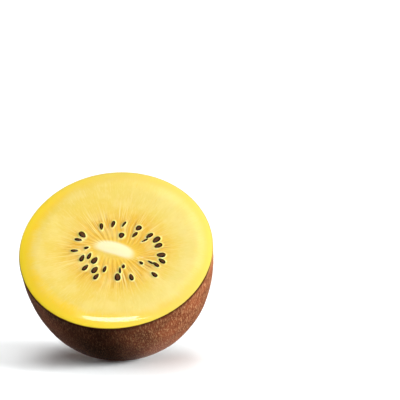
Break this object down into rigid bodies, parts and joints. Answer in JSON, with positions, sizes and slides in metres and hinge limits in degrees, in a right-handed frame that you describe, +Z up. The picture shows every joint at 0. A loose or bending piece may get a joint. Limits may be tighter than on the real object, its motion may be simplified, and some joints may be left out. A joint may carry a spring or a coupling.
{
  "type": "halved golden kiwi fruit",
  "caption": "Half of a golden kiwi fruit, lying on its rounded brown side with the yellow cut face, pale core and ring of dark seeds turned up to the front.",
  "frame": {"origin": "on the surface that the fruit rests on, under the middle of its outline", "axes": "+Z up, -Y to the front, where the cut face looks up at 45 degrees, and +X to the right of someone who faces the cut"},
  "size_m": [0.0522, 0.0498, 0.0493],
  "materials": {
    "flesh": "moist, translucent golden yellow with fine pale rays and a cream core",
    "skin": "thin smooth brown skin with fine tan specks and a very short down",
    "seed": "hard, glossy, nearly black brown",
    "scar": "dry, dark, woody"
  },
  "bodies": {
    "root": {"kiwi_half": "flesh"}
  },
  "joints": []
}
